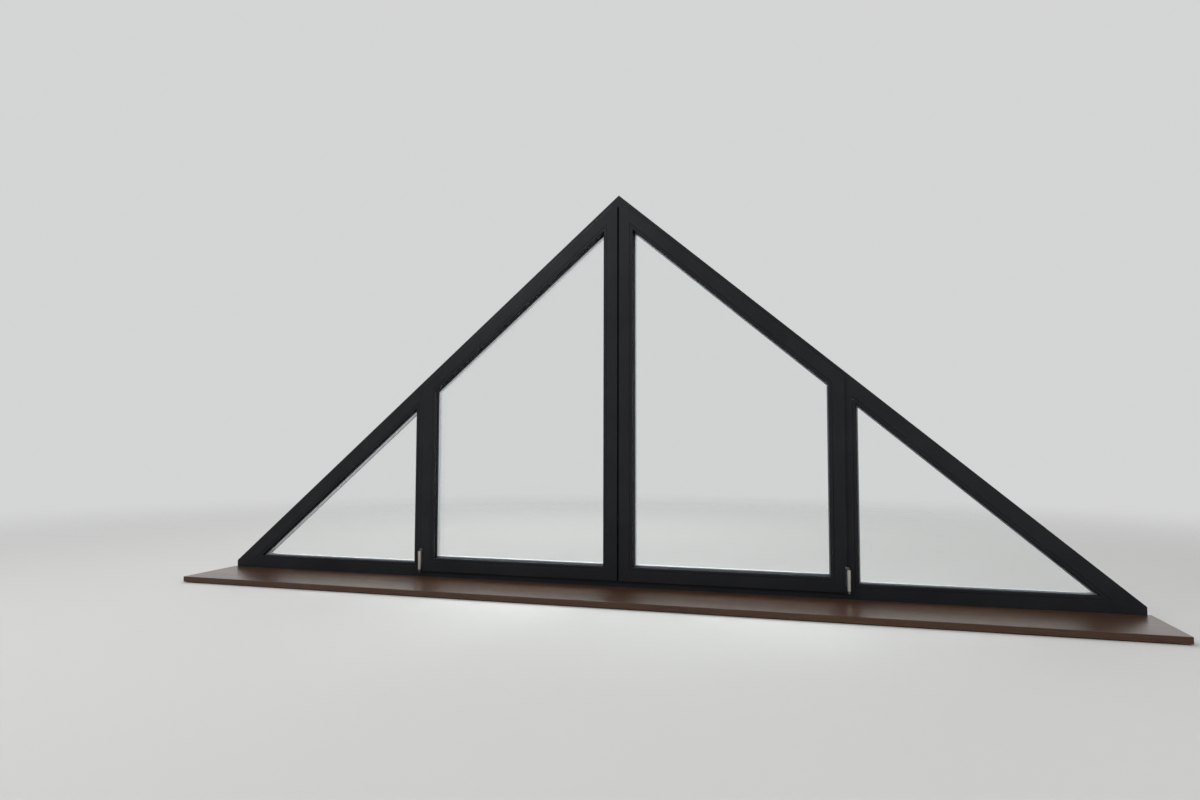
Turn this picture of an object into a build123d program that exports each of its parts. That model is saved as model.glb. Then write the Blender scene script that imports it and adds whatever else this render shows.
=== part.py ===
from build123d import *
import math
import os

os.makedirs("parts", exist_ok=True)

# Axes: X along the window, Y from the room to the outside, Z up.
# The origin is the middle of the underside of the sill profile, which the wall carries.
# All sizes are in millimetres and all angles in degrees.

# Outline of the fixed frame
apex_height = 1916.0          # underside of the frame to its point
roof_pitch = 40.5             # slope of both upper sides
end_height = 33.6             # height left where the sharp lower corners are cut off upright

# Depth of the profiles, measured from the room to the outside
frame_depth = 78.0
sash_depth = 78.0
sash_proud = 16.0             # how far a leaf stands into the room before the frame

# Fixed frame, widths seen from the room
bottom_strip = 28.0           # frame left visible under a leaf
slope_strip = 20.0            # frame left visible above a leaf
sash_edge_half = 1052.0       # centre of the window to the outer edge of a leaf
side_bottom_face = 52.5       # frame face under a side light, up to its bead
side_slope_face = 66.0        # frame face above a side light, up to its bead
post_face = 33.0              # frame face of a post, from the leaf edge to the side-light bead

# Drainage slots in the outer face of the bottom rail
slot_length = 28.0
slot_height = 5.0
slot_depth = 6.0
slot_rise = 14.0              # middle of a slot above the underside of the frame
slot_end_space = 150.0        # middle of a slot from the end of the light above it

# Leaf profile
sash_face = 54.0              # leaf face, up to its bead
meeting_gap = 8.0             # groove between the two leaves
tip_cut = 27.0                # height of the sharp upper tip that is cut off level on each leaf
sash_cover = 18.0             # width of the leaf flange that stands before the frame
flange_lap = 7.0              # how far that flange covers the frame face
outer_lap = 12.0              # how far the outer frame lip covers the leaf body
seal_thickness = 3.0          # pressed rebate seals between a leaf and the frame
seal_width = 5.0
seal_edge = 1.0               # seal set back from the edge of what covers it
sash_arris = 2.0              # small chamfer round a leaf
drip_chamfer = 3.0            # chamfer on the outer lips

# Glazing
bead_width = 16.0
bead_arris = 3.0              # chamfer of a bead towards the glass
joint_arris = 1.2             # chamfers that make the line between bead and profile
pane_thickness = 4.0
cavity = 12.0
pane_count = 3
glass_setback = 28.0          # leaf face to the first pane
gasket_thickness = 3.0
gasket_show = 1.5             # gasket lip beyond the bead
gasket_hidden = 10.0          # gasket under the bead
pane_edge_gap = 4.0           # rebate floor to the edge of a pane
spacer_show = 7.0             # spacer bar beyond the bead
spacer_height = 12.0

# Sill profile under the frame and the window board
base_height = 30.0
base_depth = 54.0
board_thickness = 27.0
board_end_overhang = 18.0     # how far each end of the board runs past the frame
board_front = 364.0           # how far the board stands out before the frame
board_arris = 2.0

# Corner hinge of each leaf
hinge_radius = 8.0
hinge_offset = 6.5            # barrel axis outside the edge of the leaf
hinge_axis_proud = 4.0        # barrel axis before the face of the leaf
hinge_low = 38.0              # lower end of the cover above the underside of the frame
hinge_high = 131.0            # upper end of the cover
hinge_wing_lap = 8.0          # how far the flat wing of the cover reaches onto the leaf
hinge_wing_thickness = 3.5
hinge_wing_step = 3.0         # upper end of the wing below the barrel's
hinge_wing_rise = 12.0        # lower end of the wing above the barrel's
hinge_wing_slant = 9.0        # how much that end climbs towards the leaf
hinge_pin_radius = 6.7
hinge_pin_drop = 12.5         # pin below the cover
hinge_neck_radius = 3.5
hinge_neck_rise = 9.0         # neck above the cover
hinge_lug_depth = 5.0         # lug between the neck and the leaf
hinge_lug_rise = 12.5         # top of the lug above the cover
hinge_plate_width = 10.0
hinge_plate_overhang = 6.0    # plate longer than the cover at its lower end
hinge_flat = 7.0              # barrel axis to the flat back of the cover, which lies on the plate
hinge_arris = 1.0             # chamfer round the cover and the lug
hinge_tip_arris = 2.5         # chamfer of the pin tip

# Clearances
seat = 0.3                    # pieces that rest on each other without being joined
mitre_gap = 0.2               # open joint between the beads of one light
cut_margin = 5.0              # cutting blocks reach this far past what they cut

# Depths of the faces, derived
frame_room_y = -frame_depth / 2
frame_outer_y = frame_depth / 2
sash_room_y = frame_room_y - sash_proud
sash_outer_y = sash_room_y + sash_depth
glass_room_y = sash_room_y + glass_setback
glass_outer_y = glass_room_y + pane_count * pane_thickness + (pane_count - 1) * cavity
bead_back_y = glass_room_y - gasket_thickness
lip_y = glass_outer_y + gasket_thickness
flange_y = frame_room_y - seal_thickness
leaf_stop_y = sash_outer_y + seal_thickness

# Outer frame lip round a leaf, measured in from the edge of the leaf
lip_inset = sash_cover + outer_lap

pitch_sin = math.sin(math.radians(roof_pitch))
pitch_cos = math.cos(math.radians(roof_pitch))

# Widths of the outline, derived
tip_half_width = apex_height * pitch_cos / pitch_sin
end_half_width = tip_half_width - end_height * pitch_cos / pitch_sin
board_half_length = end_half_width + board_end_overhang
side_post_edge = sash_edge_half + post_face


def slope_z(x, inset_distance):
    """Height of the line that runs parallel to the slope, a distance inside it."""
    drop = (tip_half_width - abs(x)) * pitch_sin / pitch_cos
    return base_height + drop - inset_distance / pitch_cos


def slope_x(z, inset_distance):
    """Half width at which that line has the height z."""
    rise = z - base_height + inset_distance / pitch_cos
    return tip_half_width - rise * pitch_cos / pitch_sin


def mirrored(points):
    """The same outline on the other side of the window, still counter-clockwise."""
    return [(-x, z) for x, z in reversed(points)]


def inset(points, distance):
    """Convex counter-clockwise outline with every side moved inwards."""
    moved = []
    count = len(points)
    for i in range(count):
        moved.append(offset_corner(points[i - 1], points[i], points[(i + 1) % count], distance))
    return moved


def offset_corner(before, corner, after, distance):
    """Corner of an outline after both its sides moved inwards."""
    first = unit(before, corner)
    second = unit(corner, after)
    turn = first[0] * second[1] - first[1] * second[0]
    along = distance * (1 - first[0] * second[0] - first[1] * second[1]) / turn
    x = corner[0] - first[1] * distance - first[0] * along
    z = corner[1] + first[0] * distance - first[1] * along
    return (x, z)


def unit(start, end):
    """Direction from one point to the next."""
    length = math.hypot(end[0] - start[0], end[1] - start[1])
    return ((end[0] - start[0]) / length, (end[1] - start[1]) / length)


def cut_level(points, top):
    """Convex outline with everything above a height cut away."""
    kept = []
    for i in range(len(points)):
        x, z = points[i - 1]
        next_x, next_z = points[i]
        if (z > top) != (next_z > top):
            kept.append((x + (next_x - x) * (top - z) / (next_z - z), top))
        if next_z <= top:
            kept.append((next_x, next_z))
    return kept


def outline_face(points, y):
    """Flat face with the outline given in X and Z, at one depth."""
    plane = Plane(origin=(0, y, 0), x_dir=(1, 0, 0), z_dir=(0, -1, 0))
    return plane * Polygon(*points, align=None)


def prism(points, y_near, y_far):
    """Straight block between two depths."""
    return extrude(outline_face(points, y_far), amount=y_far - y_near, dir=(0, -1, 0))


def taper(near_points, y_near, far_points, y_far):
    """Block whose outline changes from one depth to the next."""
    near_face = outline_face(near_points, y_near).face()
    far_face = outline_face(far_points, y_far).face()
    return loft([near_face, far_face])


def ring(outer, inner, y_near, y_far):
    """Flat frame between two outlines."""
    return prism(outer, y_near, y_far) - prism(inner, y_near, y_far)


def side_piece(block, outer, inner, index, gap):
    """Piece of a ring along one side, cut at the mitres."""
    count = len(outer)
    follow = (index + 1) % count
    along = unit(outer[index], outer[follow])
    shift = (along[0] * gap / 2, along[1] * gap / 2)
    area = [
        (outer[index][0] + shift[0], outer[index][1] + shift[1]),
        (outer[follow][0] - shift[0], outer[follow][1] - shift[1]),
        (inner[follow][0] - shift[0], inner[follow][1] - shift[1]),
        (inner[index][0] + shift[0], inner[index][1] + shift[1]),
    ]
    return block & prism(area, sash_room_y - cut_margin, frame_outer_y + cut_margin)


def save(part, name):
    """Write one named piece."""
    part.label = name
    export_step(part, "parts/" + name + ".step")


# Outlines seen from the room

def leaf_outline():
    """Edge of the right leaf."""
    low = base_height + bottom_strip
    inner = meeting_gap / 2
    return [
        (inner, low),
        (sash_edge_half, low),
        (sash_edge_half, slope_z(sash_edge_half, slope_strip)),
        (inner, slope_z(inner, slope_strip)),
    ]


def leaf_line(leaf, distance):
    """Line inside the edge of a leaf, blunt at its upper tip like the leaf."""
    top = slope_z(meeting_gap / 2, slope_strip) - tip_cut
    return cut_level(inset(leaf, distance), top - distance)


def side_light_outline(bottom_width, slope_width, post_edge):
    """Three-sided opening of the right side light."""
    low = base_height + bottom_width
    return [
        (post_edge, low),
        (slope_x(low, slope_width), low),
        (post_edge, slope_z(post_edge, slope_width)),
    ]


# Fixed frame

def frame_block():
    """The whole frame in one block with all its rebates."""
    end_top = slope_z(end_half_width, 0)
    outline = [
        (-end_half_width, base_height),
        (end_half_width, base_height),
        (end_half_width, end_top),
        (0, slope_z(0, 0)),
        (-end_half_width, end_top),
    ]
    block = prism(outline, frame_room_y, frame_outer_y)
    for leaf in (leaf_outline(), mirrored(leaf_outline())):
        back = leaf_line(leaf, lip_inset)
        wide_back = leaf_line(leaf, lip_inset - drip_chamfer)
        block -= prism(leaf_line(leaf, flange_lap), frame_room_y, leaf_stop_y)
        block -= prism(back, leaf_stop_y, frame_outer_y)
        block -= taper(back, frame_outer_y - drip_chamfer, wide_back, frame_outer_y)
    rebate = side_light_outline(side_bottom_face, side_slope_face, side_post_edge)
    for opening in (rebate, mirrored(rebate)):
        lip = inset(opening, bead_width)
        block -= prism(opening, frame_room_y, lip_y)
        block -= taper(inset(opening, -joint_arris), frame_room_y, opening, frame_room_y + joint_arris)
        block -= prism(lip, lip_y, frame_outer_y)
        block -= taper(lip, frame_outer_y - drip_chamfer, inset(lip, -drip_chamfer), frame_outer_y)
    return block


def drainage_slots():
    """Two slots under each light."""
    right_end = slope_x(base_height + side_bottom_face, side_slope_face)
    leaf_span = (meeting_gap / 2, sash_edge_half)
    light_span = (side_post_edge, right_end)
    slots = []
    for near_end, far_end in (leaf_span, light_span):
        for x in (near_end + slot_end_space, far_end - slot_end_space):
            slots += [drainage_slot(x), drainage_slot(-x)]
    return slots


def drainage_slot(x):
    """Blind slot with round ends."""
    plane = Plane(origin=(x, frame_outer_y, base_height + slot_rise), x_dir=(1, 0, 0), z_dir=(0, -1, 0))
    return extrude(plane * SlotOverall(slot_length, slot_height), amount=slot_depth)


def bottom_rail_area():
    """Outline of what belongs to the bottom rail, with the acute mitres at both ends."""
    face_z = base_height + side_bottom_face
    lip_z = face_z + bead_width
    leaf_lip_z = base_height + bottom_strip + lip_inset
    leaf_lip_x = sash_edge_half - lip_inset
    centre_x = meeting_gap / 2 + lip_inset
    centre_z = base_height + bottom_strip + flange_lap
    lip_x = side_post_edge + bead_width
    right = [
        (tip_half_width, base_height),
        (slope_x(face_z, side_slope_face), face_z),
        (slope_x(lip_z, side_slope_face + bead_width), lip_z),
        (lip_x, lip_z),
        (lip_x, face_z),
        (leaf_lip_x, face_z),
        (leaf_lip_x, leaf_lip_z),
        (centre_x, leaf_lip_z),
        (centre_x, centre_z),
    ]
    return right + mirrored(right)


def slope_rail_area():
    """Outline of what belongs to the right slope rail, from the mitre to the plumb apex joint."""
    face_z = base_height + side_bottom_face
    lip_z = face_z + bead_width
    leaf_lip = slope_strip + lip_inset
    leaf_lip_x = sash_edge_half - lip_inset
    centre_x = meeting_gap / 2 + lip_inset
    centre_lap = slope_strip + flange_lap
    lip_x = side_post_edge + bead_width
    return [
        (tip_half_width, base_height),
        (0, slope_z(0, 0)),
        (0, slope_z(0, centre_lap)),
        (centre_x, slope_z(centre_x, centre_lap)),
        (centre_x, slope_z(centre_x, leaf_lip)),
        (leaf_lip_x, slope_z(leaf_lip_x, leaf_lip)),
        (leaf_lip_x, slope_z(leaf_lip_x, side_slope_face)),
        (lip_x, slope_z(lip_x, side_slope_face)),
        (lip_x, slope_z(lip_x, side_slope_face + bead_width)),
        (slope_x(lip_z, side_slope_face + bead_width), lip_z),
        (slope_x(face_z, side_slope_face), face_z),
    ]


def post_area():
    """Outline of the right upright post between a leaf and a side light."""
    low = base_height + side_bottom_face
    inner = sash_edge_half - lip_inset
    outer = side_post_edge + bead_width
    return [
        (inner, low),
        (outer, low),
        (outer, slope_z(outer, side_slope_face)),
        (inner, slope_z(inner, side_slope_face)),
    ]


def centre_post_area():
    """Outline of the slim post behind the groove between the leaves."""
    half = meeting_gap / 2 + lip_inset
    low = base_height + bottom_strip + flange_lap
    lap = slope_strip + flange_lap
    return [
        (-half, low),
        (half, low),
        (half, slope_z(half, lap)),
        (0, slope_z(0, lap)),
        (-half, slope_z(half, lap)),
    ]


def build_frame():
    """Split the frame block into its rails and posts."""
    block = frame_block()
    whole = (frame_room_y, frame_outer_y)
    bottom_rail = block & prism(bottom_rail_area(), *whole)
    save(bottom_rail - drainage_slots(), "frame_bottom_rail")
    save(block & prism(slope_rail_area(), *whole), "frame_slope_rail_right")
    save(block & prism(mirrored(slope_rail_area()), *whole), "frame_slope_rail_left")
    save(block & prism(post_area(), *whole), "frame_post_right")
    save(block & prism(mirrored(post_area()), *whole), "frame_post_left")
    save(block & prism(centre_post_area(), *whole), "frame_post_centre")


# Leaves

def sash_block(outline):
    """Ring of one leaf with its room-side flange, glazing rebate and outer lip."""
    edge = leaf_line(outline, 0)
    body = leaf_line(outline, sash_cover)
    rebate = inset(outline, sash_face)
    lip = inset(outline, sash_face + bead_width)
    arris_y = sash_room_y + sash_arris
    block = prism(edge, arris_y, flange_y)
    block += taper(leaf_line(outline, sash_arris), sash_room_y, edge, arris_y)
    block += prism(body, flange_y, sash_outer_y)
    block -= prism(rebate, sash_room_y, lip_y)
    block -= taper(inset(rebate, -joint_arris), sash_room_y, rebate, sash_room_y + joint_arris)
    block -= prism(lip, lip_y, sash_outer_y)
    block -= taper(lip, sash_outer_y - drip_chamfer, inset(lip, -drip_chamfer), sash_outer_y)
    return block


def build_sash(outline, member_names, side):
    """Split one leaf into four mitred members."""
    block = sash_block(outline)
    inner = inset(outline, sash_face + bead_width)
    for index, member in enumerate(member_names):
        save(side_piece(block, outline, inner, index, 0), "leaf_" + member + "_" + side)


def build_rebate_seals(outline, side):
    """Seals between one leaf and the frame, under the flange and under the outer lip."""
    room_ring = ring(
        leaf_line(outline, seal_edge),
        leaf_line(outline, seal_edge + seal_width),
        flange_y,
        frame_room_y,
    )
    outer_ring = ring(
        leaf_line(outline, lip_inset - seal_edge - seal_width),
        leaf_line(outline, lip_inset - seal_edge),
        sash_outer_y,
        leaf_stop_y,
    )
    save(Compound(room_ring.solids() + outer_ring.solids()), "leaf_rebate_seals_" + side)


# Glazing

def bead_pieces(rebate, face_y):
    """Mitred beads that hold the panes from the room side."""
    outer = inset(rebate, seat)
    inner = inset(rebate, bead_width)
    block = taper(inset(outer, joint_arris), face_y, outer, face_y + joint_arris)
    block += prism(outer, face_y + joint_arris, bead_back_y)
    block -= prism(inner, face_y, bead_back_y)
    block -= taper(inset(inner, -bead_arris), face_y, inner, face_y + bead_arris)
    pieces = []
    for index in range(len(rebate)):
        pieces += side_piece(block, rebate, inner, index, mitre_gap).solids()
    return pieces


def gasket_rings(rebate):
    """Soft seals on both sides of the glass unit."""
    outer = inset(rebate, bead_width - gasket_hidden)
    inner = inset(rebate, bead_width + gasket_show)
    rings = []
    for y_near, y_far in ((bead_back_y, glass_room_y), (glass_outer_y, lip_y)):
        rings += ring(outer, inner, y_near, y_far).solids()
    return rings


def pane_sheets(rebate):
    """The parallel panes of one glass unit."""
    edge = inset(rebate, pane_edge_gap)
    pitch = pane_thickness + cavity
    sheets = []
    for number in range(pane_count):
        y = glass_room_y + number * pitch
        sheets += prism(edge, y, y + pane_thickness).solids()
    return sheets


def spacer_rings(rebate):
    """Spacer bars between the panes of one glass unit."""
    inner_distance = bead_width + spacer_show
    inner = inset(rebate, inner_distance)
    outer = inset(rebate, inner_distance - spacer_height)
    pitch = pane_thickness + cavity
    rings = []
    for number in range(pane_count - 1):
        y = glass_room_y + pane_thickness + number * pitch
        rings += ring(outer, inner, y, y + cavity).solids()
    return rings


def build_glazing(rebate, face_y, light, side):
    """Beads, seals, panes and spacer bars of one light."""
    save(Compound(bead_pieces(rebate, face_y)), light + "_beads_" + side)
    save(Compound(gasket_rings(rebate)), light + "_glazing_seals_" + side)
    save(Compound(pane_sheets(rebate)), light + "_glass_" + side)
    save(Compound(spacer_rings(rebate)), light + "_spacer_bars_" + side)


# Sill profile and window board

def block_between(x_half, y_near, y_far, z_low, z_high):
    """Rectangular block centred on X."""
    size = (2 * x_half, y_far - y_near, z_high - z_low)
    middle = (0, (y_near + y_far) / 2, (z_low + z_high) / 2)
    return Pos(*middle) * Box(*size)


def sill_profile():
    """Connection profile between the wall and the underside of the frame."""
    return block_between(end_half_width, -base_depth / 2, base_depth / 2, 0, base_height)


def window_board():
    """Timber board inside the room, tucked under the frame against the sill profile."""
    front_y = frame_room_y - board_front
    low = base_height - board_thickness
    board = block_between(board_half_length, front_y, -base_depth / 2, low, base_height)
    front_edges = board.edges().filter_by(Axis.X).sort_by(Axis.Y)[:2]
    return fillet(front_edges, board_arris)


# Corner hinges

def upright_rod(x, y, radius, z_low, z_high):
    """Upright round rod."""
    return Pos(x, y, (z_low + z_high) / 2) * Cylinder(radius, z_high - z_low)


def hinge_cover(side):
    """Round cover of a corner hinge, clear of the leaf and flat at its back, with its wing."""
    x = side * (sash_edge_half + hinge_offset)
    y = sash_room_y - hinge_axis_proud
    low = base_height + hinge_low
    high = base_height + hinge_high
    cover = upright_rod(x, y, hinge_radius, low, high)
    cover = chamfer(cover.edges().filter_by(GeomType.CIRCLE), hinge_arris)
    reach = 2 * hinge_radius + cut_margin
    height = high - low + 2 * cut_margin
    leaf_x = side * (sash_edge_half + seat - reach / 2)
    leaf_y = sash_room_y - seat + reach / 2
    leaf_space = Pos(leaf_x, leaf_y, (low + high) / 2) * Box(reach, reach, height)
    back_space = Pos(x, y + hinge_flat + reach / 2, (low + high) / 2) * Box(reach, reach, height)
    return cover - leaf_space - back_space + hinge_wing(side)


def hinge_wing(side):
    """Flat wing of the cover on the face of the leaf, its lower end slanted."""
    inner = sash_edge_half - hinge_wing_lap
    outer = sash_edge_half + hinge_offset
    low = base_height + hinge_low + hinge_wing_rise
    high = base_height + hinge_high - hinge_wing_step
    outline = [(inner, low + hinge_wing_slant), (outer, low), (outer, high), (inner, high)]
    if side < 0:
        outline = mirrored(outline)
    back_y = sash_room_y - seat
    wing = prism(outline, back_y - hinge_wing_thickness, back_y)
    return chamfer(wing.edges().group_by(Axis.Y)[0], hinge_arris)


def hinge_plate(side):
    """Plate between the frame face and the flat back of the cover."""
    front_y = sash_room_y - hinge_axis_proud + hinge_flat
    low = base_height + hinge_low - hinge_plate_overhang
    high = base_height + hinge_high
    x = side * (sash_edge_half + seat + hinge_plate_width / 2)
    size = (hinge_plate_width, frame_room_y - front_y, high - low)
    return Pos(x, (front_y + frame_room_y) / 2, (low + high) / 2) * Box(*size)


def hinge_pin(side):
    """Round pin end that shows below the cover."""
    x = side * (sash_edge_half + hinge_offset)
    y = sash_room_y - hinge_axis_proud
    low = base_height + hinge_low
    pin = upright_rod(x, y, hinge_pin_radius, low - hinge_pin_drop, low)
    tip = pin.edges().filter_by(GeomType.CIRCLE).sort_by(Axis.Z)[0]
    return chamfer(tip, hinge_tip_arris)


def hinge_lug(side):
    """Neck above the cover, with the lug that holds it to the face of the leaf."""
    x = side * (sash_edge_half + hinge_offset)
    y = sash_room_y - hinge_axis_proud
    high = base_height + hinge_high
    neck = upright_rod(x, y, hinge_neck_radius, high, high + hinge_neck_rise)
    back_y = sash_room_y - seat
    low = high + seat
    top = high + hinge_lug_rise
    width = hinge_offset + hinge_wing_lap
    lug_place = Pos(x - side * width / 2, back_y - hinge_lug_depth / 2, (low + top) / 2)
    lug = lug_place * Box(width, hinge_lug_depth, top - low)
    lug = chamfer(lug.edges().group_by(Axis.Y)[0], hinge_arris)
    return neck + lug


def build_all():
    """Write every piece of the window."""
    build_frame()
    right_leaf = leaf_outline()
    left_leaf = mirrored(right_leaf)
    right_names = ("bottom_rail", "hinge_stile", "slope_rail", "meeting_stile")
    left_names = ("slope_rail", "hinge_stile", "bottom_rail", "meeting_stile")
    build_sash(right_leaf, right_names, "right")
    build_sash(left_leaf, left_names, "left")
    build_rebate_seals(right_leaf, "right")
    build_rebate_seals(left_leaf, "left")
    side_light = side_light_outline(side_bottom_face, side_slope_face, side_post_edge)
    build_glazing(inset(right_leaf, sash_face), sash_room_y, "leaf", "right")
    build_glazing(inset(left_leaf, sash_face), sash_room_y, "leaf", "left")
    build_glazing(side_light, frame_room_y, "side_light", "right")
    build_glazing(mirrored(side_light), frame_room_y, "side_light", "left")
    save(sill_profile(), "sill_profile")
    save(window_board(), "window_board")
    for side, word in ((1, "right"), (-1, "left")):
        save(hinge_cover(side), "hinge_cover_" + word)
        save(hinge_plate(side), "hinge_plate_" + word)
        ends = hinge_pin(side).solids() + hinge_lug(side).solids()
        save(Compound(ends), "hinge_pin_ends_" + word)


build_all()
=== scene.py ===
import math

import bpy
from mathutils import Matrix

# Camera, from the slopes, sill lines and floor joints of the photograph, in metres and degrees
CAMERA_PLACE = (0.964, -3.708, 0.711)
CAMERA_YAW = 16.09
CAMERA_PITCH = 3.31
CAMERA_ROLL = -0.13
CAMERA_LENS = 23.35           # millimetres
CAMERA_REACH = 200.0
SENSOR_WIDTH = 36.0           # millimetres

# Floor and background, in metres
FLOOR_LEVEL = -0.001
FLOOR_SIZE = 60.0
FLOOR_FADE_START = 1.5
FLOOR_FADE_END = 8.5
FLOOR_COLOUR = (0.635, 0.632, 0.627)
FLOOR_ROUGHNESS = 0.85
FLOOR_SPECULAR = 0.2
BACKGROUND = (0.66, 0.662, 0.664)
WORLD_LIGHT = 0.42

# Lamps: name, place, target, size and power
WINDOW_MIDDLE = (0.0, 0.0, 0.8)
BOARD_MIDDLE = (0.0, -0.2, 0.2)
LAMPS = (
    ("room_key", (-3.6, -4.2, 4.6), WINDOW_MIDDLE, (3.5, 2.5), 170.0),
    ("room_fill", (4.6, -3.4, 2.6), WINDOW_MIDDLE, (3.0, 2.5), 70.0),
    ("sky_behind", (-1.2, 3.6, 4.6), BOARD_MIDDLE, (4.5, 2.5), 150.0),
)

# Colours of the object, linear as the shaders take them
FOIL_DARK = (0.0068, 0.0075, 0.0092)
FOIL_LIGHT = (0.0122, 0.0132, 0.0156)
# Painted highlight on the rounded edges of the foil, the sill and the plate
FOIL_EDGE_HIGHLIGHT = (0.045, 0.046, 0.049)
BEAD_DARK = (0.0064, 0.0071, 0.0089)
BEAD_LIGHT = (0.0115, 0.0125, 0.0150)
# Painted highlight on the rounded edges of the beads
BEAD_EDGE_HIGHLIGHT = (0.0195, 0.0205, 0.0235)
RUBBER_DARK = (0.0060, 0.0060, 0.0065)
RUBBER_LIGHT = (0.0120, 0.0120, 0.0125)
SILL_DARK = (0.040, 0.041, 0.043)
SILL_LIGHT = (0.058, 0.059, 0.061)
GLASS_TINT = (0.985, 0.995, 0.991)
SPACER_COLOUR = (0.78, 0.80, 0.85)
# Painted shade inside the holes of a spacer bar
SPACER_HOLE_SHADE = (0.42, 0.44, 0.48)
HINGE_COLOUR = (0.52, 0.49, 0.46)
HINGE_WORN = (0.42, 0.40, 0.37)
ZINC_COLOUR = (0.115, 0.11, 0.105)
ZINC_WORN = (0.080, 0.077, 0.075)
# Painted shade on the flat wing of a hinge cover
WING_SHADE_COLOUR = (0.055, 0.052, 0.050)
PLATE_DARK = (0.030, 0.030, 0.031)
PLATE_LIGHT = (0.050, 0.050, 0.052)
WOOD_EARLY = (0.096, 0.045, 0.022)
WOOD_LATE = (0.036, 0.016, 0.008)
WOOD_PORE = (0.012, 0.006, 0.0035)

# Gloss of the object
FRAME_ROUGHNESS = 0.42
BEAD_ROUGHNESS = 0.38
SILL_ROUGHNESS = 0.55
PLATE_ROUGHNESS = 0.40
FOIL_SPECULAR = 0.18
EDGE_HIGHLIGHT_SHARE = 0.55              # how far an edge of the foil goes to its painted highlight colour
RUBBER_ROUGHNESS = 0.62
GLASS_IOR = 1.5
SPACER_METAL = 0.85
HINGE_METAL = 0.8
WOOD_SPECULAR = 0.1
LACQUER_ROUGHNESS = 0.27
LACQUER_IOR = 1.3

# Rounded edges in the materials, radius in metres
FOIL_ROUNDING = 0.0012
RUBBER_ROUNDING = 0.0008
METAL_ROUNDING = 0.0008
BOARD_ROUNDING = 0.002

# Relief in the materials, height in metres
FOIL_GRAIN = 0.00006
RUBBER_GRAIN = 0.00005
GLASS_WAVE = 0.0003
HOLE_DEPTH = 0.0002
BRUSH_DEPTH = 0.00004
PORE_DEPTH = 0.0001

# Other sizes in the materials, in metres
SPACER_MIDDLE = -0.017        # depth of the middle of the first spacer bar
PANE_PITCH = 0.016            # from one pane to the next
HOLE_PITCH = 0.0042           # from hole to hole in a spacer bar
HOLE_RADIUS = 0.0006
STAVE_WIDTH = 0.094           # glued stave of the board
RING_WIDTH = 0.0052           # growth ring of the oak
WING_REACH = 1.0505           # half width out to which a hinge cover is a flat wing


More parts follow.
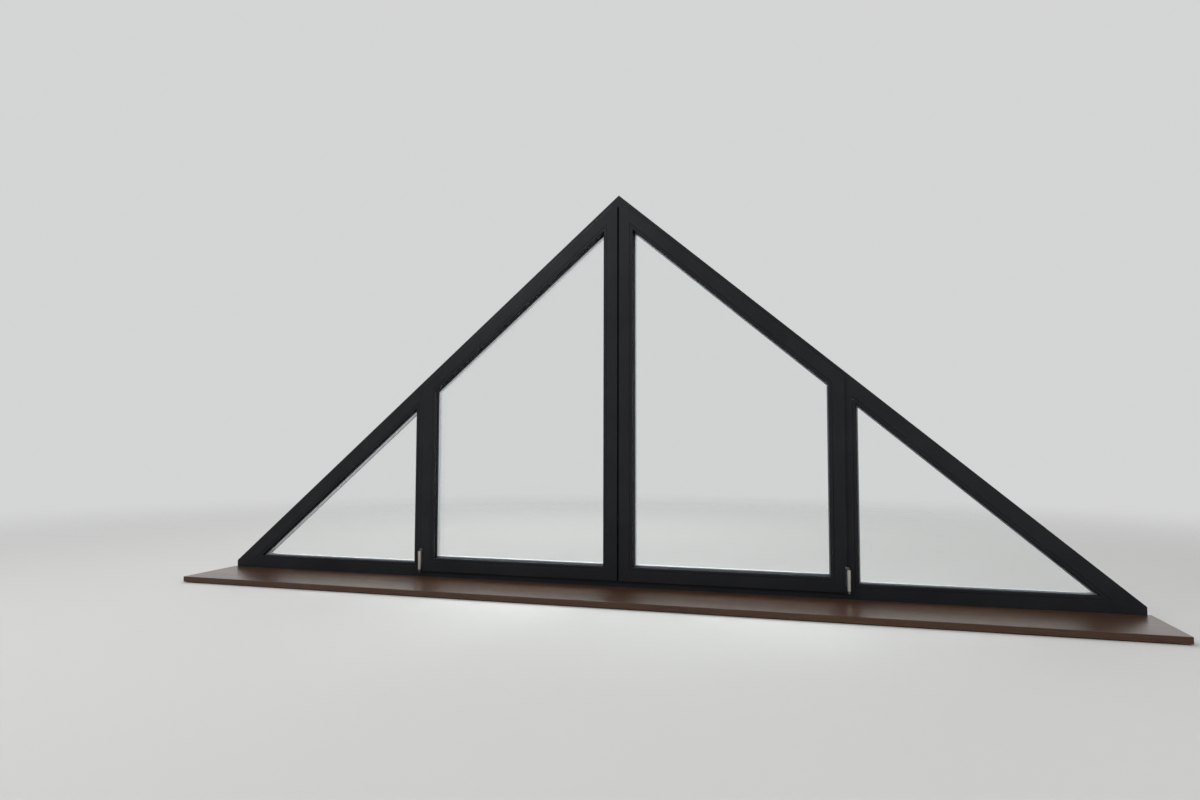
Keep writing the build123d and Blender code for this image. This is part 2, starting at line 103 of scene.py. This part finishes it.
class Shader:
    """A material with short calls that add its nodes."""

    def __init__(self, name):
        self.material = bpy.data.materials.new(name)
        self.material.use_nodes = True
        self.tree = self.material.node_tree
        self.tree.nodes.clear()
        self.output = self.add("ShaderNodeOutputMaterial")
        self.coordinates = self.add("ShaderNodeTexCoord").outputs["Object"]

    def add(self, kind, **settings):
        """A node with its settings."""
        node = self.tree.nodes.new(kind)
        for name, value in settings.items():
            setattr(node, name, value)
        return node

    def set(self, socket, value):
        """Give a socket a value or a link."""
        if isinstance(value, bpy.types.NodeSocket):
            self.tree.links.new(value, socket)
        elif isinstance(value, tuple) and socket.type == "RGBA":
            socket.default_value = (*value, 1.0)
        else:
            socket.default_value = value

    def math(self, operation, first, second=0.0):
        """One sum on two numbers."""
        node = self.add("ShaderNodeMath", operation=operation)
        self.set(node.inputs[0], first)
        self.set(node.inputs[1], second)
        return node.outputs[0]

    def parts(self, vector):
        """The three numbers of a vector or colour."""
        node = self.add("ShaderNodeSeparateXYZ")
        self.set(node.inputs[0], vector)
        return node.outputs

    def point(self, x, y, z=0.0):
        """Vector from three numbers."""
        node = self.add("ShaderNodeCombineXYZ")
        for index, value in enumerate((x, y, z)):
            self.set(node.inputs[index], value)
        return node.outputs[0]

    def length(self, x, y):
        """Length of a vector of two numbers."""
        squares = self.math("ADD", self.math("MULTIPLY", x, x), self.math("MULTIPLY", y, y))
        return self.math("SQRT", squares)

    def from_middle(self, value, pitch):
        """Distance from the middle of the step that a value falls in, in a row of equal steps."""
        part = self.math("FRACT", self.math("DIVIDE", value, pitch))
        return self.math("MULTIPLY", self.math("SUBTRACT", part, 0.5), pitch)

    def stretched(self, x, y, z):
        """The object's coordinates, each axis scaled."""
        node = self.add("ShaderNodeMapping")
        self.set(node.inputs["Vector"], self.coordinates)
        self.set(node.inputs["Scale"], (x, y, z))
        return node.outputs[0]

    def noise(self, scale, detail=3.0, roughness=0.5, where=None):
        """Soft random pattern from 0 to 1."""
        node = self.add("ShaderNodeTexNoise")
        self.set(node.inputs["Vector"], where or self.coordinates)
        self.set(node.inputs["Scale"], scale)
        self.set(node.inputs["Detail"], detail)
        self.set(node.inputs["Roughness"], roughness)
        return node.outputs["Fac"]

    def spread(self, value, low, high, to_low=0.0, to_high=1.0, kind="LINEAR"):
        """Map one range of numbers onto another, and clamp."""
        node = self.add("ShaderNodeMapRange", interpolation_type=kind)
        self.set(node.inputs["Value"], value)
        self.set(node.inputs["From Min"], low)
        self.set(node.inputs["From Max"], high)
        self.set(node.inputs["To Min"], to_low)
        self.set(node.inputs["To Max"], to_high)
        return node.outputs[0]

    def blend(self, share, first, second):
        """Mix of two colours."""
        node = self.add("ShaderNodeMix", data_type="RGBA")
        self.set(node.inputs[0], share)
        self.set(node.inputs[6], first)
        self.set(node.inputs[7], second)
        return node.outputs[2]

    def flat_normal(self):
        """Normal of the face itself."""
        return self.add("ShaderNodeNewGeometry").outputs["True Normal"]

    def rounded(self, radius):
        """Normal with softly rounded edges."""
        bevel = self.add("ShaderNodeBevel", samples=6)
        self.set(bevel.inputs["Radius"], radius)
        return bevel.outputs[0]

    def edge(self, rounded):
        """How near a point is to an edge, from its rounded normal."""
        along = self.add("ShaderNodeVectorMath", operation="DOT_PRODUCT")
        self.set(along.inputs[0], rounded)
        self.set(along.inputs[1], self.flat_normal())
        return self.spread(along.outputs["Value"], 0.99, 0.80)

    def bump(self, height, distance, normal=None):
        """Fine relief, its height in metres."""
        node = self.add("ShaderNodeBump")
        self.set(node.inputs["Height"], height)
        self.set(node.inputs["Distance"], distance)
        if normal:
            self.set(node.inputs["Normal"], normal)
        return node.outputs[0]

    def surface(self, **values):
        """The main shader, its inputs named with underscores."""
        node = self.add("ShaderNodeBsdfPrincipled")
        for name, value in values.items():
            self.set(node.inputs[name.replace("_", " ").title().replace("Ior", "IOR")], value)
        self.set(self.output.inputs["Surface"], node.outputs[0])
        return node


# Materials

def foil(name, dark, light, highlight_colour, roughness):
    """Satin foil on a plastic profile, with a fine sanded grain and a painted highlight that
    makes its edges slightly paler.
    """
    shader = Shader(name)
    clouds = shader.noise(5.0, detail=4.0, roughness=0.6)
    grain = shader.noise(1100.0, detail=2.0)
    wipes = shader.noise(14.0, detail=5.0, where=shader.stretched(1.0, 1.0, 0.35))
    rounded = shader.rounded(FOIL_ROUNDING)
    # Painted highlight: near an edge the colour goes part way to a paler highlight colour
    edge_highlight = shader.math("MULTIPLY", shader.edge(rounded), EDGE_HIGHLIGHT_SHARE)
    colour = shader.blend(shader.spread(clouds, 0.3, 0.7), dark, light)
    colour = shader.blend(edge_highlight, colour, highlight_colour)
    shine = shader.spread(wipes, 0.3, 0.7, roughness - 0.06, roughness + 0.08)
    relief = shader.bump(grain, FOIL_GRAIN, rounded)
    shader.surface(
        base_color=colour,
        roughness=shine,
        normal=relief,
        specular_ior_level=FOIL_SPECULAR,
    )
    return shader.material


def rubber(name):
    """Dull black seal."""
    shader = Shader(name)
    clouds = shader.noise(60.0, detail=4.0)
    grain = shader.noise(900.0)
    colour = shader.blend(clouds, RUBBER_DARK, RUBBER_LIGHT)
    relief = shader.bump(grain, RUBBER_GRAIN, shader.rounded(RUBBER_ROUNDING))
    shader.surface(base_color=colour, roughness=RUBBER_ROUGHNESS, normal=relief)
    return shader.material


def clear_glass(name):
    """Clear pane that lets the lamps through."""
    shader = Shader(name)
    waves = shader.noise(1.3, detail=1.0)
    relief = shader.bump(waves, GLASS_WAVE)
    glass = shader.surface(
        base_color=GLASS_TINT,
        roughness=0.0,
        transmission_weight=1.0,
        ior=GLASS_IOR,
        normal=relief,
    )
    through = shader.add("ShaderNodeBsdfTransparent")
    shader.set(through.inputs["Color"], GLASS_TINT)
    path = shader.add("ShaderNodeLightPath")
    mix = shader.add("ShaderNodeMixShader")
    shader.set(mix.inputs[0], path.outputs["Is Shadow Ray"])
    shader.set(mix.inputs[1], glass.outputs[0])
    shader.set(mix.inputs[2], through.outputs[0])
    shader.set(shader.output.inputs["Surface"], mix.outputs[0])
    return shader.material


def spacer_metal(name):
    """Rolled aluminium of a spacer bar, with its row of fine holes along the middle, painted
    darker as shade inside them.
    """
    shader = Shader(name)
    x, y, z = shader.parts(shader.coordinates)
    face_x, _, face_z = shader.parts(shader.flat_normal())
    rise = shader.math("MULTIPLY", x, face_z)
    run = shader.math("MULTIPLY", z, face_x)
    along = shader.from_middle(shader.math("SUBTRACT", rise, run), HOLE_PITCH)
    depth = shader.math("SUBTRACT", y, SPACER_MIDDLE - PANE_PITCH / 2)
    level = shader.from_middle(depth, PANE_PITCH)
    hole = shader.spread(shader.length(along, level), HOLE_RADIUS, HOLE_RADIUS * 0.7)
    # Painted shade: the holes take a darker colour
    colour = shader.blend(hole, SPACER_COLOUR, SPACER_HOLE_SHADE)
    shine = shader.spread(shader.noise(40.0), 0.3, 0.7, 0.30, 0.45)
    relief = shader.bump(hole, -HOLE_DEPTH)
    shader.surface(base_color=colour, metallic=SPACER_METAL, roughness=shine, normal=relief)
    return shader.material


def brushed(name, light, dark, shaded_wing=None):
    """Satin metal colour with faint upright brush marks, the wing of a hinge cover painted darker
    as shade.
    """
    shader = Shader(name)
    marks = shader.noise(90.0, detail=6.0, where=shader.stretched(14.0, 14.0, 0.6))
    colour = shader.blend(shader.spread(marks, 0.35, 0.75), light, dark)
    if shaded_wing:
        # Painted shade: the flat wing, inside WING_REACH, takes the darker colour
        from_middle = shader.math("ABSOLUTE", shader.parts(shader.coordinates)[0])
        on_wing = shader.math("LESS_THAN", from_middle, WING_REACH)
        colour = shader.blend(on_wing, colour, shaded_wing)
    shine = shader.spread(marks, 0.3, 0.7, 0.26, 0.42)
    relief = shader.bump(marks, BRUSH_DEPTH, shader.rounded(METAL_ROUNDING))
    shader.surface(base_color=colour, metallic=HINGE_METAL, roughness=shine, normal=relief)
    return shader.material


def oak(name):
    """Dark lacquered oak in glued staves, each with its own heart, growth rings and pores."""
    shader = Shader(name)
    along, across, height = shader.parts(shader.coordinates)
    stave = shader.math("FLOOR", shader.math("DIVIDE", across, STAVE_WIDTH))
    chance = shader.add("ShaderNodeTexWhiteNoise", noise_dimensions="1D")
    shader.set(chance.inputs["W"], stave)
    tone, shift, sunk = shader.parts(chance.outputs["Color"])

    # Distance from the heart of the log that a stave is cut from
    heart = shader.math("MULTIPLY", shader.math("ADD", stave, shift), STAVE_WIDTH)
    row = shader.math("MULTIPLY", stave, 7.3)
    drift = shader.noise(0.8, detail=2.0, where=shader.point(along, row))
    sway = shader.spread(drift, 0.2, 0.8, -0.07, 0.07)
    side = shader.math("SUBTRACT", shader.math("ADD", across, sway), heart)
    deep = shader.math("ADD", height, shader.spread(sunk, 0.0, 1.0, 0.03, 0.09))
    radius = shader.length(side, deep)

    # Growth rings of uneven width, dark where they end
    uneven = shader.noise(110.0, detail=1.0, where=shader.point(radius, stave))
    wander = shader.noise(1.0, detail=4.0, where=shader.stretched(2.4, 34.0, 34.0))
    turns = shader.math("DIVIDE", radius, RING_WIDTH)
    turns = shader.math("ADD", turns, shader.math("MULTIPLY", uneven, 1.6))
    ring = shader.math("FRACT", shader.math("ADD", turns, wander))
    late = shader.math("POWER", ring, 2.6)

    # Long pores, mostly where a ring begins, and fibres and clouds along the board
    pores = shader.noise(1.0, detail=3.0, where=shader.stretched(12.0, 620.0, 620.0))
    where_open = shader.spread(ring, 0.1, 0.8, 1.0, 0.25)
    pore = shader.math("MULTIPLY", shader.spread(pores, 0.55, 0.66), where_open)
    fibres = shader.noise(1.0, detail=3.0, where=shader.stretched(5.0, 260.0, 260.0))
    clouds = shader.noise(1.0, detail=3.0, where=shader.stretched(1.3, 9.0, 9.0))

    colour = shader.blend(late, WOOD_EARLY, WOOD_LATE)
    colour = shader.blend(shader.spread(fibres, 0.35, 0.65, 0.0, 0.3), colour, WOOD_LATE)
    colour = shader.blend(shader.spread(clouds, 0.3, 0.75, 0.0, 0.5), colour, WOOD_LATE)
    colour = shader.blend(shader.math("MULTIPLY", tone, 0.4), colour, WOOD_LATE)
    colour = shader.blend(shader.math("MULTIPLY", pore, 0.75), colour, WOOD_PORE)
    shine = shader.spread(shader.math("ADD", late, pore), 0.0, 1.6, 0.34, 0.50)
    raised = shader.math("SUBTRACT", shader.math("MULTIPLY", late, 0.3), pore)
    relief = shader.bump(raised, PORE_DEPTH, shader.rounded(BOARD_ROUNDING))
    shader.surface(
        base_color=colour,
        roughness=shine,
        normal=relief,
        specular_ior_level=WOOD_SPECULAR,
        coat_weight=1.0,
        coat_roughness=LACQUER_ROUGHNESS,
        coat_ior=LACQUER_IOR,
    )
    return shader.material


def dress_nodes(nodes):
    """Give each CAD node its material."""
    frame_foil = foil("frame_foil", FOIL_DARK, FOIL_LIGHT, FOIL_EDGE_HIGHLIGHT, FRAME_ROUGHNESS)
    bead_foil = foil("bead_foil", BEAD_DARK, BEAD_LIGHT, BEAD_EDGE_HIGHLIGHT, BEAD_ROUGHNESS)
    sill = foil("sill_plastic", SILL_DARK, SILL_LIGHT, FOIL_EDGE_HIGHLIGHT, SILL_ROUGHNESS)
    plate = foil("plate_paint", PLATE_DARK, PLATE_LIGHT, FOIL_EDGE_HIGHLIGHT, PLATE_ROUGHNESS)
    seal = rubber("seal_rubber")
    glass = clear_glass("pane_glass")
    spacer = spacer_metal("spacer_aluminium")
    silver = brushed("hinge_silver", HINGE_COLOUR, HINGE_WORN, WING_SHADE_COLOUR)
    zinc = brushed("pin_zinc", ZINC_COLOUR, ZINC_WORN)
    wood = oak("board_oak")
    chosen = (
        ("beads", bead_foil),
        ("seals", seal),
        ("glass", glass),
        ("spacer", spacer),
        ("hinge_plate", plate),
        ("hinge_cover", silver),
        ("hinge_pin", zinc),
        ("sill_profile", sill),
        ("window_board", wood),
        ("", frame_foil),
    )
    for name, piece in nodes.items():
        material = next(look for word, look in chosen if word in name)
        piece.data.materials.clear()
        piece.data.materials.append(material)


# Stage

def add_floor():
    """Large pale floor that fades into the background."""
    bpy.ops.mesh.primitive_plane_add(size=FLOOR_SIZE, location=(0, 0, FLOOR_LEVEL))
    floor = bpy.context.object
    floor.name = "studio_floor"
    shader = Shader("studio_floor")
    plain = shader.surface(
        base_color=FLOOR_COLOUR,
        roughness=FLOOR_ROUGHNESS,
        specular_ior_level=FLOOR_SPECULAR,
    )
    vector = shader.add("ShaderNodeVectorMath", operation="LENGTH")
    shader.set(vector.inputs[0], shader.coordinates)
    distance = vector.outputs["Value"]
    fade = shader.spread(distance, FLOOR_FADE_START, FLOOR_FADE_END, kind="SMOOTHERSTEP")
    through = shader.add("ShaderNodeBsdfTransparent")
    mix = shader.add("ShaderNodeMixShader")
    shader.set(mix.inputs[0], fade)
    shader.set(mix.inputs[1], plain.outputs[0])
    shader.set(mix.inputs[2], through.outputs[0])
    shader.set(shader.output.inputs["Surface"], mix.outputs[0])
    floor.data.materials.append(shader.material)


def add_world():
    """Even light all round, and a pale background for what looks at it or reflects it."""
    world = bpy.data.worlds.new("studio")
    bpy.context.scene.world = world
    world.use_nodes = True
    tree = world.node_tree
    tree.nodes.clear()
    output = tree.nodes.new("ShaderNodeOutputWorld")
    light = tree.nodes.new("ShaderNodeBackground")
    light.inputs["Color"].default_value = (1.0, 1.0, 1.0, 1.0)
    light.inputs["Strength"].default_value = WORLD_LIGHT
    seen = tree.nodes.new("ShaderNodeBackground")
    seen.inputs["Color"].default_value = (*BACKGROUND, 1.0)
    path = tree.nodes.new("ShaderNodeLightPath")
    looks = path.outputs["Is Camera Ray"]
    for ray in ("Is Transmission Ray", "Is Glossy Ray"):
        either = tree.nodes.new("ShaderNodeMath")
        either.operation = "MAXIMUM"
        tree.links.new(looks, either.inputs[0])
        tree.links.new(path.outputs[ray], either.inputs[1])
        looks = either.outputs[0]
    mix = tree.nodes.new("ShaderNodeMixShader")
    tree.links.new(looks, mix.inputs[0])
    tree.links.new(light.outputs[0], mix.inputs[1])
    tree.links.new(seen.outputs[0], mix.inputs[2])
    tree.links.new(mix.outputs[0], output.inputs["Surface"])


def add_lamp(name, place, target, size, power):
    """Large soft white lamp aimed at a point."""
    data = bpy.data.lights.new(name, "AREA")
    data.shape = "RECTANGLE"
    data.size, data.size_y = size
    data.energy = power
    lamp = bpy.data.objects.new(name, data)
    lamp.location = place
    aim = [target[i] - place[i] for i in range(3)]
    reach = math.hypot(aim[0], aim[1])
    lamp.rotation_euler = (math.atan2(reach, -aim[2]), 0, math.atan2(-aim[0], aim[1]))
    bpy.context.scene.collection.objects.link(lamp)


def add_camera():
    """Camera at the place of the photograph's."""
    data = bpy.data.cameras.new("photo_camera")
    data.sensor_width = SENSOR_WIDTH
    data.lens = CAMERA_LENS
    data.clip_end = CAMERA_REACH
    camera = bpy.data.objects.new("photo_camera", data)
    camera.location = CAMERA_PLACE
    turn = (90.0 + CAMERA_PITCH, CAMERA_ROLL, CAMERA_YAW)
    camera.rotation_euler = [math.radians(angle) for angle in turn]
    bpy.context.scene.collection.objects.link(camera)
    bpy.context.scene.camera = camera


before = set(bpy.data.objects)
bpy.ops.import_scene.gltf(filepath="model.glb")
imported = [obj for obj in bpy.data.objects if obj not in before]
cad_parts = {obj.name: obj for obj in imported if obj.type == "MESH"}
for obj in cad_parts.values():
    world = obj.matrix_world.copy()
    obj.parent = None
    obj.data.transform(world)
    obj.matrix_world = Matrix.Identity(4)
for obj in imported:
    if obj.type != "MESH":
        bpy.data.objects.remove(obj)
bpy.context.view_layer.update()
dress_nodes(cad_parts)
add_floor()
add_world()
for lamp in LAMPS:
    add_lamp(*lamp)
add_camera()
bpy.context.scene.view_settings.view_transform = "Standard"
